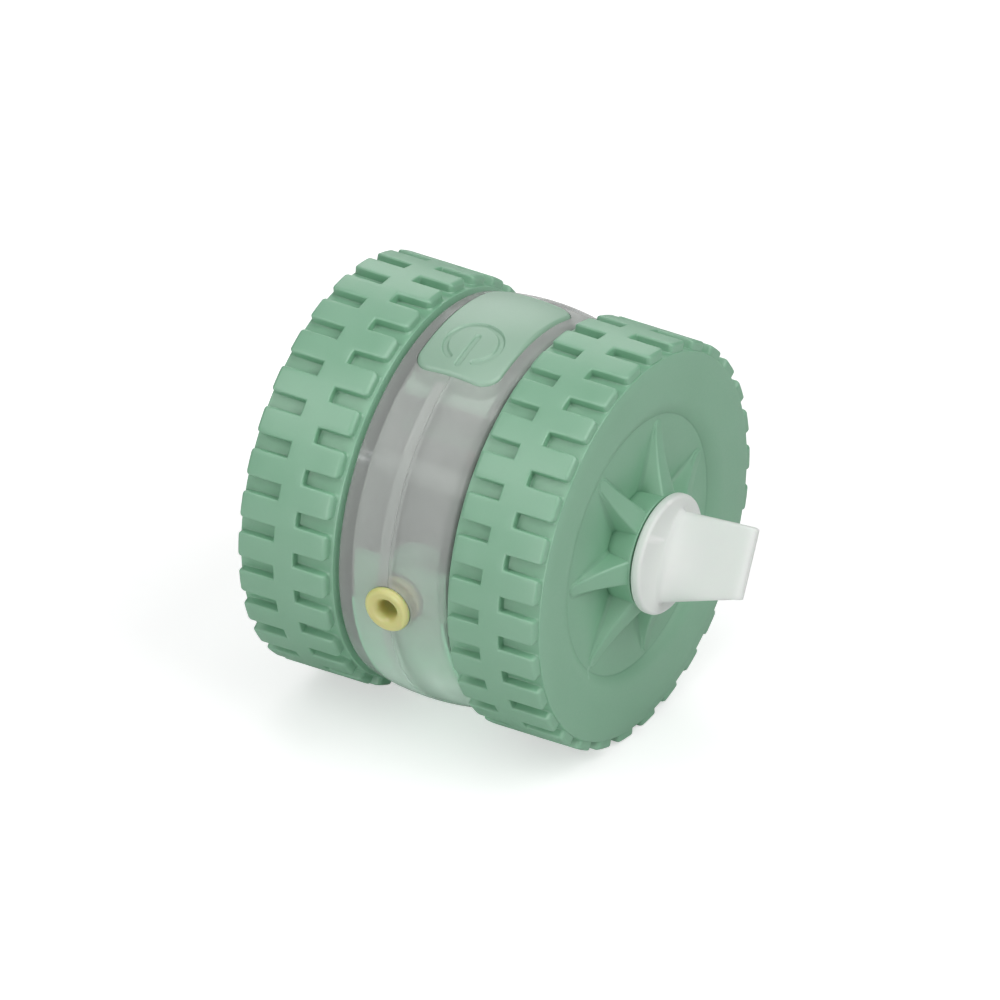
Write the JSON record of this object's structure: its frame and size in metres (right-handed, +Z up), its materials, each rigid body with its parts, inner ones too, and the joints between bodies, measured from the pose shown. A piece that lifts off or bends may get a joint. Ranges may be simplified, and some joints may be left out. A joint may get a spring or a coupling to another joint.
{
  "type": "self-rolling pet toy",
  "caption": "Two-wheeled self-rolling pet toy: a smoky barrel drum between lugged green tyres, with a power pad on top, a rope eyelet in front and a pull-tab plug over its charging socket.",
  "frame": {"origin": "on the floor under the middle of the drum, midway between the tyres", "axes": "+X along the axle towards the pull tab, -Y to the front with the eyelet, +Z up"},
  "size_m": [0.0938, 0.0805, 0.08],
  "materials": {
    "drum_shell": "smoky translucent, lightly frosted",
    "tyre_silicone": "matte soft silicone",
    "pad_silicone": "matte soft silicone",
    "eyelet_silicone": "translucent soft silicone",
    "plug_silicone": "satin soft silicone",
    "tub_plastic": "moulded",
    "wheel_plastic": "moulded",
    "grey_plastic": "moulded",
    "motor_steel": "plated",
    "screw_steel": "zinc plated",
    "gearbox_brass": "satin",
    "battery_wrap": "wrapped foil",
    "board_laminate": "solder mask",
    "chip_black": "moulded",
    "led_lens": "clear",
    "lead_red": "insulated",
    "lead_black": "insulated"
  },
  "bodies": {
    "drum": {"shell_left": "drum_shell", "shell_right": "drum_shell", "shell_screws": "screw_steel", "rope_eyelet": "eyelet_silicone", "inner_tub": "tub_plastic", "motor_left": "motor_steel", "motor_right": "motor_steel", "gearbox_left": "gearbox_brass", "gearbox_right": "gearbox_brass", "motor_screws": "screw_steel", "motor_clamp": "grey_plastic", "clamp_screws": "screw_steel", "battery": "battery_wrap", "circuit_board": "board_laminate", "board_chips": "chip_black", "status_leds": "led_lens", "tact_switch": "grey_plastic", "axle_left": "grey_plastic", "axle_right": "grey_plastic", "axle_screws": "screw_steel", "retainer_left": "motor_steel", "retainer_right": "motor_steel", "charge_board": "board_laminate", "charge_socket": "motor_steel", "axle_cap_left": "plug_silicone", "battery_leads": "lead_red", "motor_leads": "lead_black", "charge_leads": "lead_red"},
    "wheel_left": {"tyre_left": "tyre_silicone", "rim_left": "wheel_plastic", "ring_gear_left": "wheel_plastic", "bush_left": "wheel_plastic"},
    "wheel_right": {"tyre_right": "tyre_silicone", "rim_right": "wheel_plastic", "ring_gear_right": "wheel_plastic", "bush_right": "wheel_plastic"},
    "drive_left": {"output_shaft_left": "motor_steel", "pinion_left": "wheel_plastic"},
    "drive_right": {"output_shaft_right": "motor_steel", "pinion_right": "wheel_plastic"},
    "power_button": {"power_pad": "pad_silicone", "switch_plunger": "chip_black"},
    "pull_plug": {"side_plug": "plug_silicone"}
  },
  "joints": [
    {"name": "wheel_left_spin", "type": "hinge", "parent": "drum", "child": "wheel_left", "pos_m": [0, 0, 0.04], "axis": [1, 0, 0], "continuous": true},
    {"name": "wheel_right_spin", "type": "hinge", "parent": "drum", "child": "wheel_right", "pos_m": [0, 0, 0.04], "axis": [1, 0, 0], "continuous": true},
    {"name": "drive_left_spin", "type": "hinge", "parent": "drum", "child": "drive_left", "pos_m": [0, -0.01802, 0.02738], "axis": [1, 0, 0], "continuous": true},
    {"name": "drive_right_spin", "type": "hinge", "parent": "drum", "child": "drive_right", "pos_m": [0, 0.01802, 0.02738], "axis": [1, 0, 0], "continuous": true},
    {"name": "power_press", "type": "slide", "parent": "drum", "child": "power_button", "axis": [0, 0, -1], "range_m": [0, 0.0006], "stiffness_N_per_m": 1500, "springref_m": -0.0003},
    {"name": "plug_pull", "type": "slide", "parent": "drum", "child": "pull_plug", "axis": [1, 0, 0], "range_m": [0, 0.025]}
  ],
  "couplings": [
    {"joint": "drive_left_spin", "follows": "wheel_left_spin", "ratio": 4.6667},
    {"joint": "drive_right_spin", "follows": "wheel_right_spin", "ratio": 4.6667}
  ]
}
